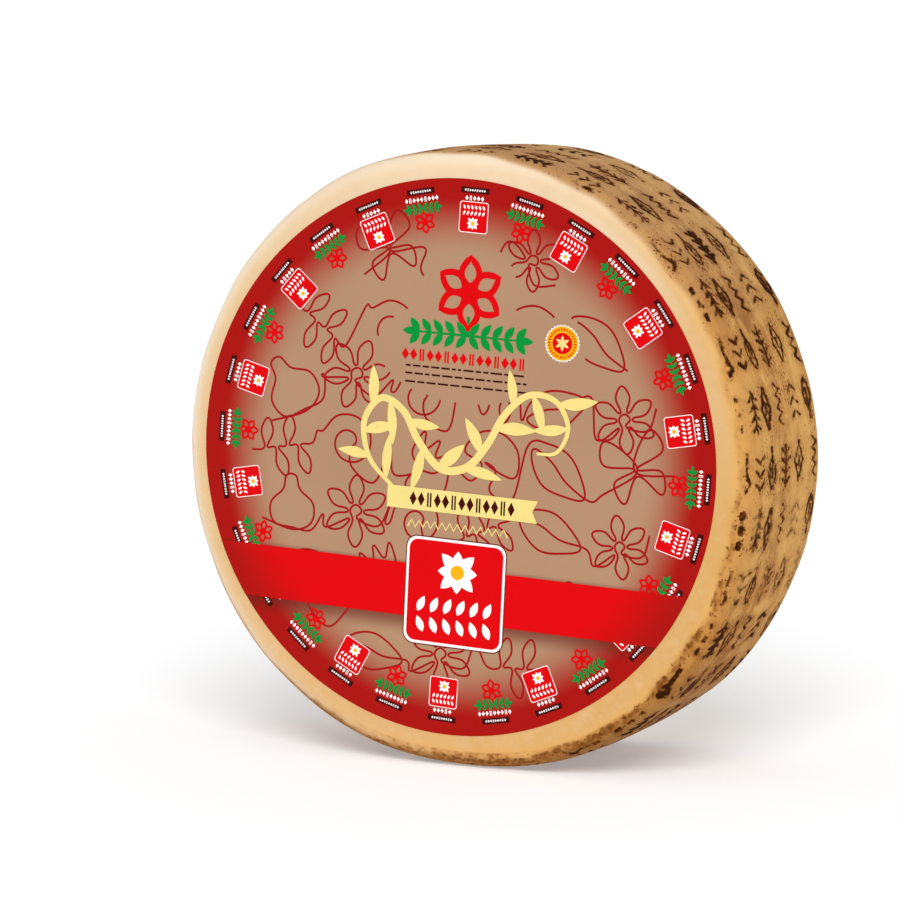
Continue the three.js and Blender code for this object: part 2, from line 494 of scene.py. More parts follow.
def rind_mesh(settings):
    """The wheel's skin: the section spun round, pushed out of round, stamped and pitted."""
    bm = bmesh.new()
    corners = [bm.verts.new((radius, along, 0)) for radius, along in rind_section(settings)]
    edges = [bm.edges.new(pair) for pair in zip(corners, corners[1:])]
    slices = settings.turn_steps // 8
    bmesh.ops.spin(bm, geom=corners + edges, axis=(0, 1, 0), angle=math.pi / 4, steps=slices)
    eighth = bm.verts[:] + bm.edges[:] + bm.faces[:]
    bmesh.ops.spin(bm, geom=eighth, axis=(0, 1, 0), angle=math.pi * 7 / 4, steps=7, use_duplicate=True)
    bmesh.ops.remove_doubles(bm, verts=bm.verts, dist=1e-3)
    mesh = mesh_of(bm, soft=True)
    points = np.empty(3 * len(mesh.vertices))
    mesh.vertices.foreach_get("co", points)
    x, along, z = points.reshape(-1, 3).T
    radius, angle = np.hypot(x, z), np.arctan2(z, x)

    # skin is each point's distance from the middle of the rim along the surface, negative at the front.
    line = SHOULDER_LINE[::-1]
    lengths = np.cumsum([0] + [math.dist(a, b) for a, b in zip(line, line[1:])])
    on_shoulder = np.interp(np.abs(along), [point[1] for point in line], RIM_HALF + lengths)
    skin = np.where(np.abs(along) < RIM_HALF, np.abs(along), on_shoulder)
    skin = np.where(radius < FACE_RADIUS, SKIN_HALF + FACE_RADIUS - radius, skin) * np.sign(along)

    inside, tone = stamp_rind(angle, skin, settings)
    pits = pit_rind(angle, skin)
    sunk = settings.mark_depth / MM * smooth(inside, -0.8, 1.2) + settings.pit_depth / MM * pits
    pushed = radius * (1 + out_of_round(angle) / WHEEL_RADIUS) + lumps(angle, along, radius)
    pushed = pushed - sunk * smooth(radius, FACE_RADIUS - 4, FACE_RADIUS + 6)
    height = np.maximum(pushed * np.sin(angle) + AXLE_HEIGHT, 0)
    places = np.stack([pushed * np.cos(angle), along + WHEEL_MIDDLE, height], -1) * MM
    mesh.vertices.foreach_set("co", places.ravel())
    mesh.update()

    edge = edge_line(angle, skin)
    # Among these fields, the paleness is partly a painted sheen, the ivory ridge a painted highlight, and the
    # tanning and edge browning partly painted shade.
    fields = (
        1 - smooth(np.abs(skin), edge - 2.5, edge + 2.5), inside, tone, pits, crumbled(angle, skin),
        paleness_and_sheen(angle, skin), tanning_and_shade(angle, skin), bell(skin + 16, 15), painted_edge_highlight(angle, skin),
        edge_stain_and_shade(angle, skin),
    )
    for name, field in zip(SKIN_FIELDS, fields):
        mesh.attributes.new(name, "FLOAT", "POINT").data.foreach_set("value", field)
    return mesh


def rind_material(settings):
    """Golden waxy rind: smooth and creamy on the faces, with a painted sheen, highlight and shade there, and
    on the rim mottled and stained with dark marks, with painted shade towards the floor.
    """
    paint = Paint("rind")
    here = paint.place()
    rim, stamp, tone, pit, crumb, pale_and_sheen, tan_and_shade, middle, edge_highlight, brown = map(paint.attribute, SKIN_FIELDS)
    back = paint.part(here, 1).rise(0.0, 0.04)
    high = paint.part(here, 2) / MM
    round_rim = paint.place(scale=(0.3, 1.0, 0.3))

    broad = paint.noise(here, 70, detail=3)
    cloud = paint.noise(here, 20, detail=4, roughness=0.6)
    blotch = paint.noise(here, 6, detail=4, roughness=0.65)
    streak = paint.noise(round_rim, 9, detail=4, roughness=0.6, distortion=0.4)
    hair = paint.noise(round_rim, 1.6, detail=3, roughness=0.7)
    grain = paint.noise(here, 2.4, detail=3, roughness=0.6)
    speck = paint.noise(here, 1.7)
    shelf = paint.noise(paint.place(scale=(0.12, 1.0, 1.0), turn=(0, 0.3, 0)), 3, detail=3, roughness=0.6)
    smudge = paint.noise(here, 13, detail=4, roughness=0.62, distortion=0.3)
    sand = paint.noise(paint.place(scale=(0.45, 1.0, 0.45)), 1.7)

    # The smooth faces: paler high up, partly a painted sheen; more golden low down, partly painted shade; a
    # painted highlight along the front edge.
    face = paint.coats(
        settings.gold,
        (settings.cream, (pale_and_sheen + (cloud - 0.5) * 0.3 * pale_and_sheen).low(1.0)),
        (settings.rim_mid, cloud.rise(0.42, 0.8) * 0.2),
        (settings.cream, (blotch + broad * 0.5).rise(0.68, 1.05) * 0.2),
        (settings.stain, back * (broad * 0.5 + cloud * 0.5).rise(0.46, 0.68) * 0.4),
        (settings.cream, back * shelf.rise(0.45, 0.8) * 0.3),
        (settings.mark_brown, back * (speck + (cloud - 0.5) * 0.4).rise(0.7, 0.76) * 0.6),
        (settings.rim_light, tan_and_shade * 0.6),
        (settings.ivory_highlight, edge_highlight),
    )

    # The rim: light and darker patches, streaks, smudges, and stains round the marks.
    near_mark = stamp.rise(-3.9, 0.2)
    smudged = (smudge + middle * 0.1 + (blotch - 0.5) * 0.3).rise(0.54, 0.74)
    body = paint.coats(
        settings.rim_light,
        (settings.rim_mid, cloud.rise(0.35, 0.65)),
        (settings.stain, streak.rise(0.42, 0.66) * (middle * 0.65 + 0.35)),
        (settings.dull, broad.rise(0.5, 0.75) * 0.4),
        (settings.smudge, smudged * (middle * 0.6 + 0.2)),
        (settings.mark_brown, hair.rise(0.53, 0.78) * 0.33),
        # A brown stain where the rim begins, with painted shade on the right where it turns from the light.
        (settings.stain, brown * (streak * 0.6 + 0.3)),
        (settings.stain, near_mark * (blotch + middle * 0.2).rise(0.36, 0.62) * 0.85),
        (settings.mark_brown, near_mark * (blotch + grain).rise(0.98, 1.3) * 0.6),
    )

    # Marks: dark brown, lighter and broken where they are faint.
    edge = stamp + (grain - 0.5) * 1.5 + (blotch - 0.5) * 1.5
    kept = (tone * 1.5 + (cloud - 0.5) * 1.8 + (blotch - 0.5) * 1.4).rise(0.1, 0.65)
    mark = edge.rise(-0.5, 0.25) * (kept * 0.72 + 0.25)
    depth = (tone * 0.8 + (blotch - 0.5) * 1.5 + (grain - 0.5) * 1.0 + edge.low(0.8) * 0.5).rise(0.05, 0.95)

    # Crumbs along the edge, specks and pits.
    crumb = crumb * (paint.noise(here, 11).rise(0.32, 0.62) * 0.75 + 0.3)
    crumbs = (blotch * 0.45 + sand * 0.55 + crumb * 0.2).rise(0.54, 0.72)
    dots = (speck + (cloud - 0.5) * 0.6 + near_mark * 0.05 + middle * 0.02).rise(0.66, 0.74) * rim
    skin = paint.coats(
        face,
        (body, rim),
        # Painted shade on the rim towards the floor; the rim is also greyer near the top and lighter halfway
        # up.
        (settings.foot, high.rise(95, 0) * rim * 0.6),
        (settings.top, high.rise(200, 340) * rim * 0.5),
        (settings.halfway, high.rise(70, 140) * high.rise(260, 205) * rim * 0.3),
        (settings.stain, crumb.rise(0.02, 0.6) * (blotch * 0.7 + 0.35) * 0.85),
        (paint.mix(settings.mark_brown, settings.mark_dark, depth), mark),
        (settings.mark_brown, dots * 0.85),
        (settings.crumb_brown, crumbs * crumb.rise(0.1, 0.45) * 0.8),
        (settings.mark_brown, (pit + (grain - 0.5) * 0.6).rise(0.45, 0.85) * 0.8),
    )

    rough = 0.5 + (grain - 0.5) * 0.25 + mark * 0.15
    relief = grain * 0.4 + blotch * 0.3 + hair * 0.25 + (1 - mark) * 0.8 + (1 - crumbs) * 0.4
    normal = paint.bump(relief, 0.4, 0.8)
    return paint.finish(Base_Color=skin, Roughness=rough, Normal=normal, Specular_IOR_Level=0.01)


# ---------------------------------------------------------------- print on the label


def on_label(mesh, lift, tilt=0.0):
    """Moves a flat mesh, drawn in millimetres with x right and y up, to its place in front of the paper."""
    spot = Matrix.Translation((LABEL_CENTRE.x, WHEEL_LOW.y - (PAPER + lift) * MM, LABEL_CENTRE.z))
    upright = Matrix.Rotation(math.pi / 2, 4, "X") @ Matrix.Scale(MM, 4)
    mesh.transform(spot @ upright @ Matrix.Rotation(tilt, 4, "Z"))
    return mesh


def moved(outline, at=(0, 0), turn=0.0, size=1.0):
    """An outline scaled, turned by an angle and shifted."""
    c, s = math.cos(turn) * size, math.sin(turn) * size
    return [(at[0] + c * x - s * y, at[1] + s * x + c * y) for x, y in outline]


def polar(radius, degrees):
    """A point at this distance and direction from 0, 0."""
    return radius * math.cos(math.radians(degrees)), radius * math.sin(math.radians(degrees))


def leaf(length, width, bend=0.0, steps=9):
    """A pointed leaf from its stalk at 0, 0 up to its tip, bent sideways."""
    right, left = [], []
    for step in range(steps + 1):
        t = step / steps
        half = width / 2 * math.sin(math.pi * t) ** 0.8 * (1.15 - 0.3 * t)
        right.append((bend * t * t + half, length * t))
        left.append((bend * t * t - half, length * t))
    return right + left[-2:0:-1]


def disc(radius, steps=16, lobes=0, depth=0.0):
    """A round outline, with soft lobes if it has any."""
    steps = max(steps, 6 * lobes)
    turns = [360 * i / steps for i in range(steps)]
    return [polar(radius + depth * math.cos(math.radians(lobes * t)), t) for t in turns]


def box(width, height, corner=0.0):
    """A rectangle, with round corners if they have a radius."""
    x, y = width / 2 - corner, height / 2 - corner
    if not corner:
        return [(x, -y), (x, y), (-x, y), (-x, -y)]
    quarters = enumerate(((x, y), (-x, y), (-x, -y), (x, -y)))
    return [spot for k, place in quarters for spot in arc(place, corner, 90 * k, 90 * k + 90, steps=6)]


def lozenge(width, height):
    """A diamond."""
    return [(width / 2, 0), (0, height / 2), (-width / 2, 0), (0, -height / 2)]


def smooth_path(points, spacing, soften=0.0):
    """A smooth curve through a few points, with about this spacing, and its corners rounded by soften."""
    points = [np.array(point, float) for point in points]
    points = [2 * points[0] - points[1]] + points + [2 * points[-1] - points[-2]]
    path = []
    for a, b, c, d in zip(points, points[1:], points[2:], points[3:]):
        steps = max(2, round(math.dist(b, c) / spacing))
        for t in np.arange(steps) / steps:
            bent = (2 * a - 5 * b + 4 * c - d) * t**2 + (3 * b - a - 3 * c + d) * t**3
            path.append(tuple(b + ((c - a) * t + bent) / 2))
    path.append(tuple(points[-2]))
    if not soften:
        return path
    x, y = np.array(path).T
    lengths = np.append(0, np.cumsum(np.hypot(np.diff(x), np.diff(y))))
    even = np.arange(0, lengths[-1], spacing)
    reach = math.ceil(3 * soften / spacing)
    weights = bell(np.arange(-reach, reach + 1) * spacing, soften)
    softened = [
        np.convolve(np.pad(np.interp(even, lengths, values), reach, "edge"), weights / weights.sum(), "valid")
        for values in (x, y)
    ]
    return list(zip(*(values.tolist() for values in softened)))


INK = 0.024  # how much higher each ink lies than the one under it
OVERLAP = 0.003  # how much marks of one ink differ in height, so that none lies exactly in another
PEN_TOP = INK + 6 * OVERLAP  # the height that no pen line of an ink reaches
# How high the first ink of each part of the print lies over the paper.
LIFTS = {
    "drawing": 0.0, "seal": 0.045, "border": 0.045, "emblem": 0.1, "zigzag": 0.1, "border_top": 0.115,
    "branch": 0.2, "band": 0.25, "badge": 0.27, "ribbon": 0.28, "badge_top": 0.345,
}


class Sheet:
    """Print in several inks: filled outlines and pen lines, in millimetres, right and up of 0, 0."""

    def __init__(self):
        self.marks = {}

    def fill(self, ink, *outlines, at=(0, 0), turn=0.0):
        """Prints filled outlines."""
        self.marks.setdefault(ink, []).extend((moved(line, at, turn), None) for line in outlines)

    def pen(self, ink, width, path, at=(0, 0), turn=0.0):
        """Draws a line of one width, or of three: at the start, in the middle and at the end."""
        widths = width if isinstance(width, tuple) else (width,) * 3
        self.marks.setdefault(ink, []).append((moved(path, at, turn), widths))

    def paste(self, sheet, at=(0, 0), turn=0.0):
        """Prints another sheet on this one."""
        for ink, marks in sheet.marks.items():
            self.marks.setdefault(ink, []).extend((moved(line, at, turn), widths) for line, widths in marks)
        return self

    def press(self, name, settings, material=None):
        """Makes one piece of each ink, the first at this print's height and each next one higher."""
        for index, (ink, marks) in enumerate(self.marks.items()):
            bm = bmesh.new()
            lines = [mark for mark in marks if mark[1]]
            for number, (line, widths) in enumerate(marks):
                if not widths:
                    patch = bm.faces.new([bm.verts.new((x, y, -INK)) for x, y in line])
                    thicken(bm, patch, INK + (OVERLAP * (number % 6) + (PEN_TOP if lines else 0)))
            if lines:
                bm.from_mesh(pen_mesh(lines))
            mesh = on_label(mesh_of(bm), LIFTS[name] + index * INK, PRINT_TILT)
            add_piece(f"{name}_{ink}", mesh, material or ink_material(ink, settings))


def thicken(bm, face, height):
    """Gives a flat face this thickness, upwards."""
    grown = bmesh.ops.extrude_face_region(bm, geom=[face])["geom"]
    top = [vert for vert in grown if isinstance(vert, bmesh.types.BMVert)]
    bmesh.ops.translate(bm, vec=(0, 0, height), verts=top)


def pen_mesh(lines):
    """Pen strokes pressed nearly flat into low ridges, from height 0 up."""
    curve = bpy.data.curves.new("pen", "CURVE")
    curve.dimensions, curve.twist_mode = "3D", "Z_UP"
    curve.bevel_depth, curve.bevel_resolution, curve.use_fill_caps = 0.5, 0, True
    widest = max(max(widths) for _, widths in lines)
    for number, (path, (start, middle, end)) in enumerate(lines):
        height = OVERLAP * (number % 6) * widest / INK
        spline = curve.splines.new("POLY")
        spline.points.add(len(path) - 1)
        for index, (point, place) in enumerate(zip(spline.points, path)):
            share = index / (len(path) - 1)
            point.co = (*place, height, 1)
            point.radius = middle + ((start if share < 0.5 else end) - middle) * (2 * share - 1) ** 2
    holder = bpy.data.objects.new("pen", curve)
    bpy.context.scene.collection.objects.link(holder)
    tube = bpy.data.meshes.new_from_object(holder.evaluated_get(bpy.context.evaluated_depsgraph_get()))
    bpy.data.objects.remove(holder)
    bm = bmesh.new()
    bm.from_mesh(tube)
    bmesh.ops.remove_doubles(bm, verts=bm.verts, dist=1e-4)
    bmesh.ops.scale(bm, vec=(1, 1, INK / widest), verts=bm.verts)
    bmesh.ops.translate(bm, vec=(0, 0, INK / 2), verts=bm.verts)
    bm.to_mesh(tube)
    bm.free()
    return tube


BLACK = (0.0, 0.0, 0.0)
GLOSS = 0.06  # specular level of the printed paper


def printed(paint, tint, fibre_size=0.5, unevenness=0.15):
    """Gives printed paper its satin finish, with the fine relief of its fibres, and returns the material."""
    fibre = paint.noise(paint.place(), fibre_size)
    rough = 0.55 + (fibre - 0.5) * unevenness
    normal = paint.bump(fibre, 0.02, 0.5)
    return paint.finish(Base_Color=tint, Roughness=rough, Normal=normal, Specular_IOR_Level=GLOSS)


def ink_material(name, settings):
    """Satin printing ink on paper, the same for every piece of one ink."""
    made = bpy.data.materials.get(f"ink_{name}")
    if made:
        return made
    paint = Paint(f"ink_{name}")
    cloud = paint.noise(paint.place(), 12, detail=3)
    return printed(paint, paint.mix(getattr(settings, name), BLACK, (cloud - 0.4).high(0.0) * 0.12))


def from_middle(paint):
    """The distances right and up from the label's centre in millimetres, and the share of its radius."""
    here = paint.place(shift=(-LABEL_CENTRE.x, 0, -LABEL_CENTRE.z))
    x, z = paint.part(here, 0) / MM, paint.part(here, 2) / MM
    return x, z, (x * x + z * z) ** 0.5 / LABEL_RADIUS


def band_material(settings):
    """Bright red ink that darkens towards the label's edge."""
    paint = Paint("ink_band")
    out = from_middle(paint)[2]
    return printed(paint, paint.mix(settings.red, settings.ring, out.rise(0.74, 1.02)))


def paper_material(settings):
    """The label's ground: taupe in the middle, fading to a dark red ring, with soft shadows by the band."""
    paint = Paint("label_paper")
    x, z, out = from_middle(paint)
    up = z * math.cos(PRINT_TILT) - x * math.sin(PRINT_TILT)
    cloud = paint.noise(paint.place(), 90)
    low, high = settings.band_low / MM, settings.band_high / MM
    below = up.rise(low - 12, low) * (1 - up.rise(low, low + 1))
    above = (1 - up.rise(high, high + 2.5)) * up.rise(high - 1, high)
    ground = paint.coats(
        settings.taupe,
        (BLACK, cloud.rise(0.35, 0.65) * 0.05),
        (settings.ring, out.rise(settings.fade_start, settings.fade_end)),
        (settings.shade, below * 0.75 + above * 0.3),
    )
    return printed(paint, ground, fibre_size=0.6, unevenness=0.12)


# The line drawing: each motif runs from -0.5, 0 to 0.5, 0, and the pen goes on to the next without lifting.
PETAL = ((0.12, 18), (0.32, 19), (0.47, 0), (0.32, -19), (0.12, -18))  # distances and degrees
DAISY = [
    (-0.5, 0), *(polar(r, 180 - 60 * k + a) for k in range(6) for r, a in PETAL),
    *(polar(0.09, a) for a in (150, 60, -30, -120)), (0.2, -0.3), (0.5, -0.1),
]
BROAD_LEAF = [
    (-0.5, 0), (-0.3, 0.2), (0, 0.28), (0.3, 0.17), (0.52, -0.02), (0.28, -0.18), (-0.02, -0.27),
    (-0.3, -0.15), (-0.42, 0.02), (-0.12, 0.05), (0.2, -0.02), (0.6, 0.02),
]
SPRIG_LEAF = ((0, 0), (-0.02, 0.26), (0.12, 0.44), (0.17, 0.22), (0.03, 0))
SPRIG_SIDES = {-0.28: 1, -0.1: -1, 0.08: 1, 0.26: -1}  # where its leaves start, and on which side
SPRIG_LEAVES = [(x + along, side * up) for x, side in SPRIG_SIDES.items() for along, up in SPRIG_LEAF]
SPRIG = [(-0.5, 0), *SPRIG_LEAVES, (0.5, 0)]
TULIP = [
    (-0.5, -0.2), (-0.25, -0.42), (0, -0.12), (-0.24, 0.04), (-0.26, 0.42), (-0.1, 0.2), (0, 0.46),
    (0.1, 0.2), (0.26, 0.42), (0.24, 0.04), (0, -0.12), (-0.04, -0.4), (0.2, -0.46), (0.5, -0.15),
]
MUSHROOM = [
    (-0.5, -0.36), (-0.16, -0.4), (-0.11, -0.1), (-0.42, -0.06), (-0.32, 0.28), (0, 0.42), (0.32, 0.28),
    (0.42, -0.06), (0.11, -0.1), (-0.1, -0.06), (0.12, -0.1), (0.14, -0.4), (0.5, -0.36),
]
SNAIL = [(-0.5, 0), *(polar(0.42 - 0.027 * k, 180 - 45 * k) for k in range(14)), (0.12, -0.3), (0.5, -0.4)]
PEAR = [
    (-0.5, -0.3), (0, -0.46), (0.3, -0.36), (0.34, -0.08), (0.13, 0.12), (0.08, 0.32), (-0.08, 0.32),
    (-0.13, 0.12), (-0.34, -0.08), (-0.3, -0.36), (0, -0.43), (0.3, -0.46), (0.5, -0.2),
]
WINGS = [(0, -0.05), (-0.08, 0.22), (-0.32, 0.42), (-0.4, 0.14), (0, 0), (-0.32, -0.1), (-0.25, -0.38)]
BUTTERFLY = [(-0.5, -0.2), *WINGS, (0, -0.08), *((-x, y) for x, y in reversed(WINGS)), (0.5, -0.2)]
MOTIFS = (
    BROAD_LEAF, DAISY, SPRIG, SNAIL, TULIP, MUSHROOM, BROAD_LEAF, BUTTERFLY, PEAR, DAISY, SNAIL, SPRIG,
)
MOTIF_PITCH, MOTIF_SIZES, MOTIF_LEAN = 40, (37, 46), 40  # millimetres, and degrees to both sides
# Places of the label that the drawing keeps out of: centre, half width and half height.
QUIET = ((5, 93, 29, 30), (5, 60, 55, 28), (62, 70, 15, 15))


def in_quiet_place(x, y):
    """Whether a point lies where the drawing leaves room."""
    return any(math.hypot((x - at_x) / wide, (y - at_y) / high) < 1 for at_x, at_y, wide, high in QUIET)


def drawing(settings):
    """Wandering pen lines, row over row, that break off at the quiet places."""
    draw = random.Random(settings.drawing_seed)
    sheet = Sheet()
    reach, rows = settings.drawing_radius / MM, settings.drawing_rows
    motif = 0
    for row in range(rows):
        height = reach * (2 * (row + 0.5) / rows - 1)
        half = math.sqrt(reach**2 - height**2)
        count = max(1, round(2 * half / MOTIF_PITCH))
        points = []
        for place in range(count):
            x = half * (2 * (place + 0.5) / count - 1) + draw.uniform(-3, 3)
            spot = (x, height + draw.uniform(-6, 6))
            turn = math.radians(draw.uniform(-MOTIF_LEAN, MOTIF_LEAN))
            points += moved(MOTIFS[motif % len(MOTIFS)], spot, turn, draw.uniform(*MOTIF_SIZES))
            motif += 1
        line = []
        for point in smooth_path(points, spacing=0.9, soften=1.3) + [None]:
            if point and math.hypot(*point) < reach + 14 and not in_quiet_place(*point):
                line.append(point)
            else:
                if len(line) > 5:
                    sheet.pen("line", settings.line_width / MM, line)
                line = []
    return sheet


def small_flower(radius, width):
    """Six looped petals round a dot, in red."""
    sheet = Sheet()
    loop = leaf(radius - width / 2 - radius / 6, radius * 0.5)
    loop.append(loop[0])
    for k in range(6):
        turn = math.radians(60 * k)
        sheet.pen("red", width, loop, at=polar(radius / 6, 60 * k + 90), turn=turn)
    sheet.fill("red", disc(radius / 4))
    return sheet


def garland(width, height, pairs, steps=9):
    """Two green sprays of leaves that point away from the middle."""
    sheet = Sheet()
    pitch = width / 2 / (pairs + 0.6)
    length = height * 0.62
    one = leaf(length, length * 0.46, steps=steps)
    for side in (-1, 1):
        widths = (height * 0.1, height * 0.08, height * 0.06)
        sheet.pen("green", widths, [(0, 0), (side * (width / 2 - length / 2), 0)])
        for pair in range(pairs):
            for up in (-1, 1):
                turn = math.radians(90 - 90 * up + up * side * -38)
                sheet.fill("green", one, at=(side * pitch * (pair + 0.15), 0), turn=turn)
        sheet.fill("green", one, at=(side * (width / 2 - length), 0), turn=-side * math.pi / 2)
    return sheet


def bead_row(ink, width, height, count, every=3):
    """A row of diamonds with a pair of thin bars at every so many."""
    sheet = Sheet()
    pitch = width / count
    for index in range(count):
        x = pitch * (index + 0.5) - width / 2
        if index % every == every - 1:
            for shift in (-0.17, 0.17):
                sheet.fill(ink, box(pitch * 0.2, height), at=(x + shift * pitch, 0))
        else:
            sheet.fill(ink, lozenge(pitch * 0.86, height), at=(x, 0))
    return sheet


def edelweiss(radius, steps=9):
    """Eight white petals, long and short in turn, round a yellow middle."""
    sheet = Sheet()
    for k in range(8):
        reach = radius * (1 if k % 2 else 0.86)
        sheet.fill("white", leaf(reach, radius * 0.5, steps=steps), turn=2 * math.pi * k / 8)
    sheet.fill("yellow", disc(radius * 0.3, 12))
    return sheet


def badge(side, corner, border):
    """A red square with a white border and round corners."""
    sheet = Sheet()
    sheet.fill("white", box(side, side, corner))
    sheet.fill("red", box(side - 2 * border, side - 2 * border, corner - border / 2))
    return sheet


def badge_print(side, steps=9):
    """What is printed on a badge: a flower over two rows of leaning leaves."""
    sheet = Sheet()
    sheet.paste(edelweiss(side * 0.23, steps=steps), at=(side * 0.02, side * 0.2))
    small = leaf(side * 0.16, side * 0.075, steps=max(4, steps - 3))
    for row, lean in ((-0.13, -24), (-0.32, 24)):
        right, up = polar(side * 0.075, lean - 90)
        for place in range(6):
            x = side * (0.135 * (place - 2.5))
            sheet.fill("white", small, at=(x + right, side * row + up), turn=math.radians(lean))
    return sheet


# ---------------------------------------------------------------- settings


def number_prop(name, description, default):
    """A plain number that a user can change."""
    return bpy.props.FloatProperty(name=name, description=description, default=default)


def whole_prop(name, description, default):
    """A whole number that a user can change."""
    return bpy.props.IntProperty(name=name, description=description, default=default)


def metres_prop(name, description, default):
    """A distance that a user can change."""
    return bpy.props.FloatProperty(name=name, description=description, default=default, subtype="DISTANCE")


def degrees_prop(name, description, degrees):
    """An angle that a user can change."""
    default = math.radians(degrees)
    return bpy.props.FloatProperty(name=name, description=description, default=default, subtype="ANGLE")


def colour_prop(name, description, *screen):
    """A colour that a user can change, given as seen on a screen, 0 to 255."""
    default = colour(*screen)
    return bpy.props.FloatVectorProperty(name=name, description=description, default=default, subtype="COLOR")


class CheeseRind(bpy.types.PropertyGroup):
    """Sizes and colours of the rind."""

    rows: whole_prop("Rows", "Rows of stamped marks round the rim", 33)
    first_row: degrees_prop("First row", "Where the first row lies", 1)
    first_mark: metres_prop("First mark", "Centre of a row's first mark, from the middle of the rim", -0.0565)
    mark_pitch: metres_prop("Mark pitch", "From the first mark to the second", 0.013)
    wider: metres_prop("Wider", "How much wider each gap between marks is than the one before", 0.0032)
    stroke: metres_prop("Stroke", "Height of a level stamped stroke", 0.0012)
    mark_depth: metres_prop("Mark depth", "How deep the marks are pressed in", 0.0006)
    pit_depth: metres_prop("Pit depth", "Depth of the pits", 0.0009)
    turn_steps: whole_prop("Turn steps", "Divisions round the wheel", 1096)
    rim_steps: whole_prop("Rim steps", "Divisions across the rim", 46)
    # Cream is also the colour of the painted sheen high on the face.
    cream: colour_prop("Cream", "Palest rind", 228, 204, 170)
    gold: colour_prop("Gold", "Golden rind of the faces", 211, 165, 100)
    rim_light: colour_prop("Rim light", "Light patches of the rim", 219, 168, 92)
    rim_mid: colour_prop("Rim", "Common colour of the rim", 200, 146, 76)
    dull: colour_prop("Dull rind", "Duller patches of the rim", 168, 118, 66)
    stain: colour_prop("Stain", "Orange-brown stains", 172, 110, 50)
    mark_brown: colour_prop("Mark brown", "Faint marks", 98, 48, 13)
    mark_dark: colour_prop("Mark dark", "Dark marks", 42, 15, 3)
    # The colour of the painted highlight along the front edge.
    ivory_highlight: colour_prop("Ivory", "Pale skin along the front edge", 247, 233, 210)
    top: colour_prop("Top", "Greyer skin on top of the rim", 186, 150, 108)
    halfway: colour_prop("Halfway", "Lighter skin halfway up the rim", 234, 184, 112)
    # Painted shade on the rim near the floor.
    foot: colour_prop("Foot", "Darker skin round the foot", 112, 76, 42)
    smudge: colour_prop("Smudge", "Dark stains along the middle of the rim", 140, 84, 32)
    crumb_brown: colour_prop("Crumb brown", "Pitted skin along the edge", 120, 70, 26)


class CheeseLabel(bpy.types.PropertyGroup):
    """Sizes and colours of the label."""

    taupe: colour_prop("Taupe", "Middle of the label", 174, 137, 107)
    shade: colour_prop("Shade", "Printed shadow by the band and the badge", 105, 28, 14)
    ring: colour_prop("Ring", "Dark red ring", 163, 16, 11)
    line: colour_prop("Line", "Line drawing", 158, 20, 22)
    red: colour_prop("Red", "Bright red print", 216, 1, 8)
    green: colour_prop("Green", "Green print", 0, 142, 55)
    straw: colour_prop("Straw", "Pale yellow print", 236, 214, 132)
    white: colour_prop("White", "White print", 248, 242, 240)
    yellow: colour_prop("Yellow", "Yellow print", 242, 174, 14)
    dark: colour_prop("Dark", "Dark print", 64, 8, 6)
    fade_start: number_prop(
        "Fade start", "Where the taupe begins to turn red, as a share of the radius", 0.72)
    fade_end: number_prop("Fade end", "Where the ring is all red, as a share of the radius", 0.936)
    band_low: metres_prop("Band bottom", "Lower edge of the band", -0.0913)
    band_high: metres_prop("Band top", "Upper edge of the band", -0.0613)
    line_width: metres_prop("Line width", "Width of the drawn lines", 0.00125)
    ring_marks: whole_prop("Ring marks", "Small emblems round the ring", 28)
    drawing_radius: metres_prop("Drawing radius", "How far out the line drawing goes", 0.128)
    drawing_rows: whole_prop("Drawing rows", "Rows of the line drawing", 7)
    drawing_seed: whole_prop("Drawing seed", "Another number, another drawing", 4)


class CheeseStudio(bpy.types.PropertyGroup):
    """The floor, the lights and the camera."""

    floor: bpy.props.FloatVectorProperty(
        name="Floor", description="Colour of the floor", default=(0.825, 0.83, 0.84), subtype="COLOR")
    glow: number_prop("Glow", "Light that the floor gives by itself", 0.29)
    sky: number_prop("Sky", "Strength of the light from all round", 0.504)
    key: number_prop("Key", "Strength of the soft main light", 1.89)
    softness: degrees_prop("Softness", "How wide the main light is", 33)
    distance: metres_prop("Distance", "Camera to wheel", 13 * WHEEL_RADIUS * MM)
    yaw: degrees_prop("Yaw", "Camera to the right of the label", 24.831)
    rise: degrees_prop("Rise", "Camera above level", 6.942)
    lens: number_prop("Lens", "Focal length in millimetres", 160.09)


# ---------------------------------------------------------------- where things lie

# The design, in millimetres right and up of the label's centre.
BORDER_RADII = {"badge": 133.7, "flower": 131.7, "leaves": 139.2, "beads": 144.2, "tag": 148.6}
BORDER_START = 88.95  # direction of the first small badge, in degrees
SMALL_BADGE, BIG_BADGE = 17.3, 60.5  # sides of the red squares
BADGE_CENTRE, BADGE_SHADOW = (4.4, -75.7), 0.6  # the shadow's width
FLOWER_HEIGHT, GARLAND_HEIGHT, BEADS_HEIGHT = 93, 69.4, 56.3
RULE_HEIGHTS, RULE_HALF = (50, 45.7, 41), 36  # the three dashed rules, and half their length
SEAL_CENTRE = (62, 70.3)
BRANCH_CENTRE, BRANCH_LEAVES = (4, 2), 15
FIRST_LEAF, LEAF_STEP = 0.08, 0.058  # shares of the stem's length
BRANCH_STEM = [
    (-29, -29), (-42, -20), (-56, -6), (-60, 14), (-50, 28), (-36, 22), (-26, 6), (-12, -8), (4, -6), (16, 8),
    (26, 26), (40, 38), (56, 36), (64, 22), (58, 8), (46, 6),
]
RIBBON_CENTRE, RIBBON = (6.35, -24.5), (46, 6.25, 3.2)  # half its length, half its height and its notch
ZIGZAG_HEIGHT = -38.5

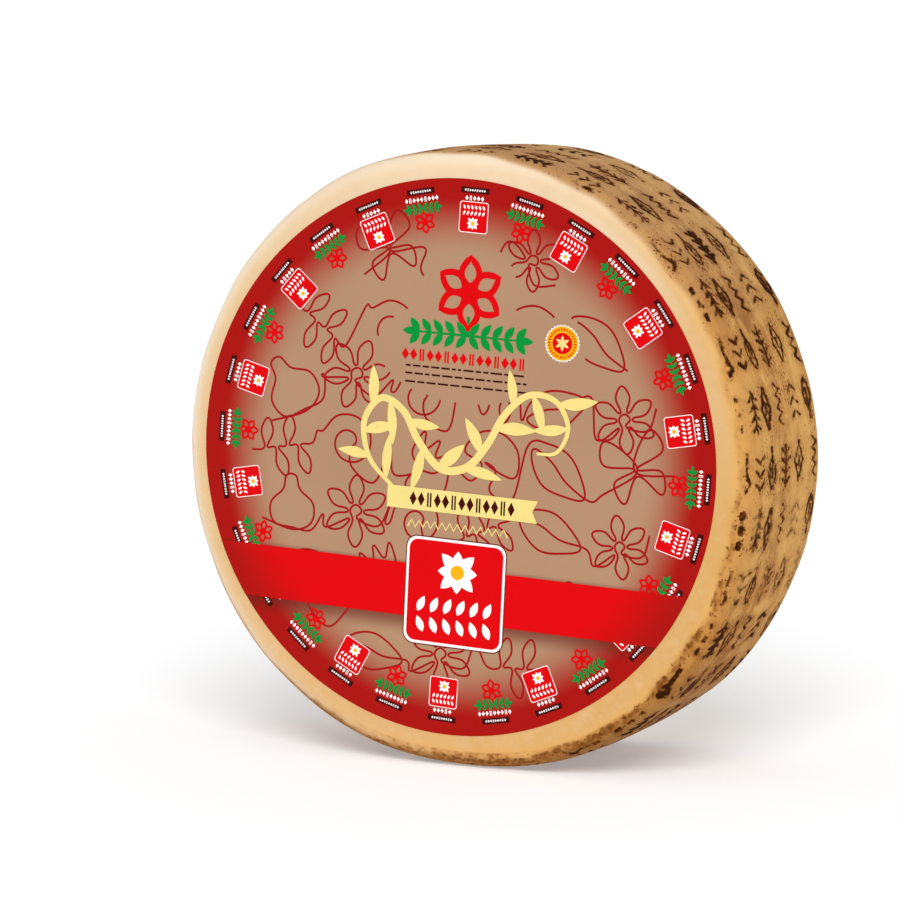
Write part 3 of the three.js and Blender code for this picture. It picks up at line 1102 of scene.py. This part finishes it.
# The studio, in metres.
WHITE, GREY = (1.0, 1.0, 1.0), (0.8, 0.8, 0.8)
FLOOR_HALF = 200
SUNLIGHT = Vector((-0.44, 1.05, -1.0))  # the way the light falls
AIM_RIGHT, AIM_UP = -0.02937, 0.00147  # where the camera looks, from the middle of the wheel


# ---------------------------------------------------------------- operators


class CHEESE_OT_wheel(bpy.types.Operator):
    """Builds the rind with its stamped marks"""

    bl_idname = "cheese.wheel"
    bl_label = "Wheel"

    def execute(self, context):
        """Replaces the plain solid with the fine one."""
        settings = context.scene.cheese_rind
        wheel = add_piece("rind", rind_mesh(settings), rind_material(settings))
        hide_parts("cheese_wheel")
        return {"FINISHED"}


class CHEESE_OT_paper(bpy.types.Operator):
    """Builds the label's paper disc"""

    bl_idname = "cheese.paper"
    bl_label = "Label paper"

    def execute(self, context):
        """Replaces the label's plain disc with a thin sheet glued on the face."""
        settings = context.scene.cheese_label
        bm = bmesh.new()
        bmesh.ops.create_circle(bm, cap_ends=True, radius=LABEL_RADIUS, segments=288)
        bm.faces.ensure_lookup_table()
        thicken(bm, bm.faces[0], PAPER - INK)
        mesh = on_label(mesh_of(bm), INK - PAPER)
        label = add_piece("label_paper", mesh, paper_material(settings))
        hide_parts("label")
        return {"FINISHED"}


class CHEESE_OT_drawing(bpy.types.Operator):
    """Prints the line drawing"""

    bl_idname = "cheese.drawing"
    bl_label = "Line drawing"

    def execute(self, context):
        """Flowers, leaves, fruit, snails and butterflies in thin red lines."""
        settings = context.scene.cheese_label
        drawing(settings).press("drawing", settings)
        return {"FINISHED"}


class CHEESE_OT_border(bpy.types.Operator):
    """Prints the small emblems round the edge"""

    bl_idname = "cheese.border"
    bl_label = "Border"

    def execute(self, context):
        """Badges and flowers in turn, all with their tops towards the middle."""
        settings = context.scene.cheese_label
        ground, top = Sheet(), Sheet()
        square, square_print = badge(SMALL_BADGE, corner=1.5, border=0.42), badge_print(SMALL_BADGE, steps=4)
        flower = small_flower(radius=6.6, width=1.2)
        leaves = garland(width=24.3, height=6.5, pairs=3, steps=4)
        short_beads = bead_row("white", width=11.8, height=2.7, count=5, every=4)
        long_beads = bead_row("white", width=21, height=2.7, count=9, every=4)
        fine_beads = bead_row("white", width=13, height=1.5, count=9, every=4)
        for index in range(settings.ring_marks):
            degrees = BORDER_START - 360 / settings.ring_marks * index
            turn = math.radians(degrees + 90)
            spots = {name: polar(radius, degrees) for name, radius in BORDER_RADII.items()}
            if index % 2:
                top.paste(flower, spots["flower"], turn)
                top.paste(leaves, spots["leaves"], turn)
            else:
                ground.paste(square, spots["badge"], turn)
                top.paste(square_print, spots["badge"], turn)
            ground.fill("dark", box(width=17, height=3.3), at=spots["tag"], turn=turn)
            top.paste(long_beads if index % 2 else short_beads, spots["beads"], turn)
            top.paste(fine_beads, spots["tag"], turn)
        Sheet().paste(ground, BORDER_CENTRE).press("border", settings)
        Sheet().paste(top, BORDER_CENTRE).press("border_top", settings)
        return {"FINISHED"}


class CHEESE_OT_band(bpy.types.Operator):
    """Prints the red band across the label"""

    bl_idname = "cheese.band"
    bl_label = "Band"

    def execute(self, context):
        """A straight band, cut off by the label's edge."""
        settings = context.scene.cheese_label
        edges = settings.band_low, settings.band_high
        low, high = (math.degrees(math.asin(edge / MM / LABEL_RADIUS)) for edge in edges)
        sheet = Sheet()
        right, left = (low, high), (180 - high, 180 - low)
        sheet.fill("red", arc((0, 0), LABEL_RADIUS, *right) + arc((0, 0), LABEL_RADIUS, *left))
        sheet.press("band", settings, band_material(settings))
        return {"FINISHED"}


class CHEESE_OT_emblem(bpy.types.Operator):
    """Prints the flower, the garland and the seal at the top"""

    bl_idname = "cheese.emblem"
    bl_label = "Emblem"

    def execute(self, context):
        """A big red flower over green leaves, a row of diamonds, thin rules and a yellow seal."""
        settings = context.scene.cheese_label
        sheet = Sheet()
        sheet.pen("green", 1.8, [(PRINT_SHIFT, 70), (PRINT_SHIFT, 80)])
        sheet.paste(garland(width=79.5, height=15, pairs=5), (PRINT_SHIFT, GARLAND_HEIGHT))
        sheet.paste(small_flower(radius=21.4, width=3.6), (PRINT_SHIFT, FLOWER_HEIGHT))
        sheet.paste(bead_row("red", width=76, height=6.5, count=15), (PRINT_SHIFT - 2, BEADS_HEIGHT))
        draw = random.Random(3)
        for height in RULE_HEIGHTS:
            x = -RULE_HALF - 1
            while x < RULE_HALF - 1:
                long = draw.uniform(2, 7)
                sheet.fill("dark", box(long, 1.0), at=(PRINT_SHIFT + x + long / 2, height))
                x += long + 1.3
        sheet.press("emblem", settings)

        ray = box(width=0.7, height=1.7)
        rays = [moved(ray, polar(7.7, 12 * k), math.radians(12 * k - 90)) for k in range(30)]
        petal = leaf(length=4.4, width=1.9, steps=5)
        seal = Sheet()
        seal.fill("white", disc(radius=10.1, lobes=30, depth=0.35))
        seal.fill("yellow", disc(radius=9.5, steps=48))
        seal.fill("red", disc(radius=5.9, steps=32), *rays)
        seal.fill("straw", *[moved(petal, turn=math.radians(60 * k)) for k in range(6)])
        Sheet().paste(seal, SEAL_CENTRE).press("seal", settings)
        return {"FINISHED"}


class CHEESE_OT_flourish(bpy.types.Operator):
    """Prints the pale leafy branch and the ribbon under it"""

    bl_idname = "cheese.flourish"
    bl_label = "Flourish"

    def execute(self, context):
        """A branch drawn with a broad pen, over a ribbon with a row of diamonds and a zigzag."""
        settings = context.scene.cheese_label
        branch = Sheet()
        path = smooth_path(BRANCH_STEM, spacing=2)
        branch.pen("straw", (1.6, 4.6, 1.6), path)
        draw = random.Random(8)
        for k in range(BRANCH_LEAVES):
            index = int(len(path) * (FIRST_LEAF + LEAF_STEP * k))
            at, ahead = path[index], path[index + 5]
            along = math.atan2(ahead[1] - at[1], ahead[0] - at[0])
            side = 1 if k % 2 else -1
            turn = along - math.pi / 2 + side * math.radians(draw.uniform(40, 60))
            outline = leaf(draw.uniform(19, 27), draw.uniform(5.5, 7.5), bend=-side * 3)
            branch.fill("straw", outline, at=at, turn=turn)
        Sheet().paste(branch, BRANCH_CENTRE).press("branch", settings)

        half, high, notch = RIBBON
        notched = [(half, -high), (half - notch, 0), (half, high), (-half, high), (-half, -high)]
        ribbon, zigzag = Sheet(), Sheet()
        ribbon.fill("straw", notched, at=RIBBON_CENTRE)
        ribbon.paste(bead_row("dark", width=65, height=8, count=13), RIBBON_CENTRE)
        ribbon.press("ribbon", settings)
        line = [(2.35 * k - 26.3, 2 if k % 2 else -2) for k in range(27)]
        zigzag.pen("straw", 1.1, line, at=(0, ZIGZAG_HEIGHT))
        zigzag.press("zigzag", settings)
        return {"FINISHED"}


class CHEESE_OT_badge(bpy.types.Operator):
    """Prints the big badge on the band"""

    bl_idname = "cheese.badge"
    bl_label = "Badge"

    def execute(self, context):
        """A red square with round corners, a white edge and an edelweiss."""
        settings = context.scene.cheese_label
        shadow = BIG_BADGE + 2 * BADGE_SHADOW
        sheet = Sheet()
        sheet.fill("shade", box(shadow, shadow, 6 + BADGE_SHADOW), at=BADGE_CENTRE)
        sheet.paste(badge(BIG_BADGE, corner=6, border=1.5), BADGE_CENTRE).press("badge", settings)
        Sheet().paste(badge_print(BIG_BADGE), BADGE_CENTRE).press("badge_top", settings)
        return {"FINISHED"}


class CHEESE_OT_stage(bpy.types.Operator):
    """Builds the floor, the lights and the camera"""

    bl_idname = "cheese.stage"
    bl_label = "Stage"

    def execute(self, context):
        """A pale floor under soft light, seen from the photo's side."""
        scene = context.scene
        settings = scene.cheese_studio
        bm = bmesh.new()
        bmesh.ops.create_grid(bm, x_segments=1, y_segments=1, size=FLOOR_HALF)
        floor = bpy.data.objects.new("floor", mesh_of(bm))
        paint = Paint("floor")
        shade = paint.mix(settings.floor, GREY, paint.noise(paint.place(), 900) * 0.1)
        glow = {"Emission_Color": WHITE, "Emission_Strength": settings.glow}
        material = paint.finish(Base_Color=shade, Roughness=0.9, Specular_IOR_Level=0.0, **glow)
        floor.data.materials.append(material)
        scene.collection.objects.link(floor)

        world = bpy.data.worlds.new("studio")
        world.use_nodes = True
        sky = world.node_tree.nodes["Background"].inputs
        sky["Color"].default_value = (*WHITE, 1.0)
        sky["Strength"].default_value = settings.sky
        scene.world = world
        sun = bpy.data.lights.new("sun", "SUN")
        sun.energy, sun.angle = settings.key, settings.softness
        holder = bpy.data.objects.new("sun", sun)
        holder.rotation_euler = SUNLIGHT.to_track_quat("-Z", "Y").to_euler()
        scene.collection.objects.link(holder)

        wheel = Vector((0, WHEEL_MIDDLE * MM, AXLE_HEIGHT * MM))
        yaw, rise = settings.yaw, settings.rise
        back = Vector((math.sin(yaw) * math.cos(rise), -math.cos(yaw) * math.cos(rise), math.sin(rise)))
        right = Vector((math.cos(yaw), math.sin(yaw), 0))
        camera = bpy.data.objects.new("camera", bpy.data.cameras.new("camera"))
        aim = wheel + AIM_RIGHT * right + AIM_UP * right.cross(-back)
        camera.location = aim + settings.distance * back
        camera.rotation_euler = (-back).to_track_quat("-Z", "Y").to_euler()
        camera.data.lens, camera.data.sensor_width = settings.lens, 36
        scene.collection.objects.link(camera)
        scene.camera = camera
        scene.view_settings.view_transform = "Standard"
        return {"FINISHED"}


class CHEESE_PT_panel(bpy.types.Panel):
    """Lists the pieces of the cheese wheel"""

    bl_idname = "CHEESE_PT_panel"
    bl_label = "Cheese wheel"
    bl_space_type = "VIEW_3D"
    bl_region_type = "UI"
    bl_category = "Cheese"

    def draw(self, context):
        """One button for each operator."""
        for operator in OPERATORS:
            self.layout.operator(operator.bl_idname)


GROUPS = {"cheese_rind": CheeseRind, "cheese_label": CheeseLabel, "cheese_studio": CheeseStudio}
OPERATORS = (
    CHEESE_OT_stage, CHEESE_OT_wheel, CHEESE_OT_paper, CHEESE_OT_drawing, CHEESE_OT_border, CHEESE_OT_band,
    CHEESE_OT_emblem, CHEESE_OT_flourish, CHEESE_OT_badge,
)


def register():
    """Makes the settings, operators and panel known to Blender."""
    for name, group in GROUPS.items():
        bpy.utils.register_class(group)
        setattr(bpy.types.Scene, name, bpy.props.PointerProperty(type=group))
    for cls in (*OPERATORS, CHEESE_PT_panel):
        bpy.utils.register_class(cls)


def unregister():
    """Takes them out again."""
    for cls in (CHEESE_PT_panel, *reversed(OPERATORS)):
        bpy.utils.unregister_class(cls)
    for name, group in GROUPS.items():
        delattr(bpy.types.Scene, name)
        bpy.utils.unregister_class(group)


def main():
    """Builds everything."""
    register()
    for operator in OPERATORS:
        group, _, name = operator.bl_idname.partition(".")
        getattr(getattr(bpy.ops, group), name)()


if __name__ == "__main__":
    main()
